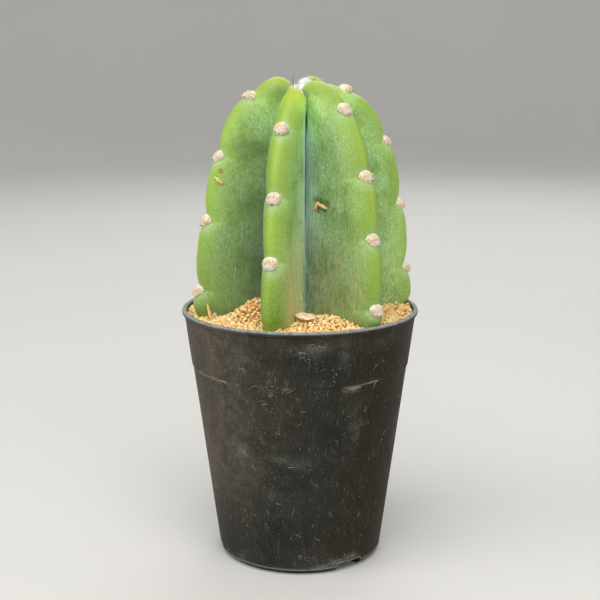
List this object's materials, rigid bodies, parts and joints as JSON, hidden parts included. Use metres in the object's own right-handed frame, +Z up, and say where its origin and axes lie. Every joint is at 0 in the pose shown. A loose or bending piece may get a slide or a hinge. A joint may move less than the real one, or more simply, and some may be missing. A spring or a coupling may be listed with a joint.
{
  "type": "potted spineless column cactus",
  "caption": "Short ribbed spineless column cactus with woolly areoles along its ribs, planted in grit in a tapered round black nursery pot.",
  "frame": {"origin": "centre of the pot's foot, on the surface that the pot stands on", "axes": "+Z up along the pot's axis, -Y towards the side that the picture shows, +X to its right"},
  "size_m": [0.09, 0.09, 0.1828],
  "materials": {
    "pot_plastic": "matte",
    "net_plastic": "matte",
    "potting_mix": "matte",
    "grit": "matte",
    "flesh": "satin",
    "wool": "matte",
    "husk": "matte"
  },
  "bodies": {
    "root": {"pot": "pot_plastic", "drainage_net": "net_plastic", "potting_mix": "potting_mix", "top_grit": "grit", "cactus": "flesh", "crown_wool": "wool", "husk": "husk"}
  },
  "joints": []
}
